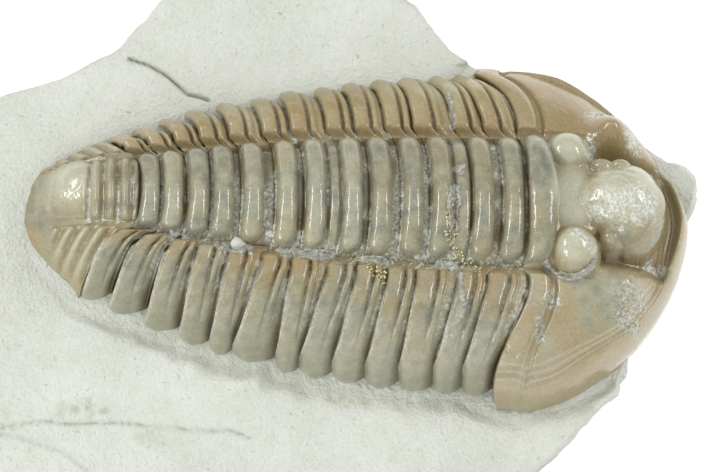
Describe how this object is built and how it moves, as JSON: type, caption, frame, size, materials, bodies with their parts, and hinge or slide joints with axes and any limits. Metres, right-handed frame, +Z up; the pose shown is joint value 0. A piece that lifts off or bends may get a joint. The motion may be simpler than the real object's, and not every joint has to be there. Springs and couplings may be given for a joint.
{
  "type": "fossil trilobite on matrix",
  "caption": "Prone fossil trilobite with domed head shield, ringed three-lobed body and fan tail, lying part sunk in a flat irregular piece of pale shale.",
  "frame": {"origin": "on the slab's flat underside, below the middle of the fossil", "axes": "+X along the animal towards its head, +Y across it towards its half-buried side, +Z up out of the rock"},
  "size_m": [0.0521, 0.0399, 0.0157],
  "materials": {
    "shale": "matte pale grey-green shale, dusty and fine-grained",
    "head_shell": "glossy tan-brown calcite, lightly varnished",
    "body_shell": "glossy tan to olive-grey calcite, lightly varnished",
    "tail_shell": "glossy pale tan calcite, lightly varnished"
  },
  "bodies": {
    "root": {"shale_matrix": "shale", "cephalon": "head_shell", "thoracic_segment_01": "body_shell", "thoracic_segment_02": "body_shell", "thoracic_segment_03": "body_shell", "thoracic_segment_04": "body_shell", "thoracic_segment_05": "body_shell", "thoracic_segment_06": "body_shell", "thoracic_segment_07": "body_shell", "thoracic_segment_08": "body_shell", "thoracic_segment_09": "body_shell", "thoracic_segment_10": "body_shell", "thoracic_segment_11": "body_shell", "thoracic_segment_12": "body_shell", "thoracic_segment_13": "body_shell", "pygidium": "tail_shell"}
  },
  "joints": []
}
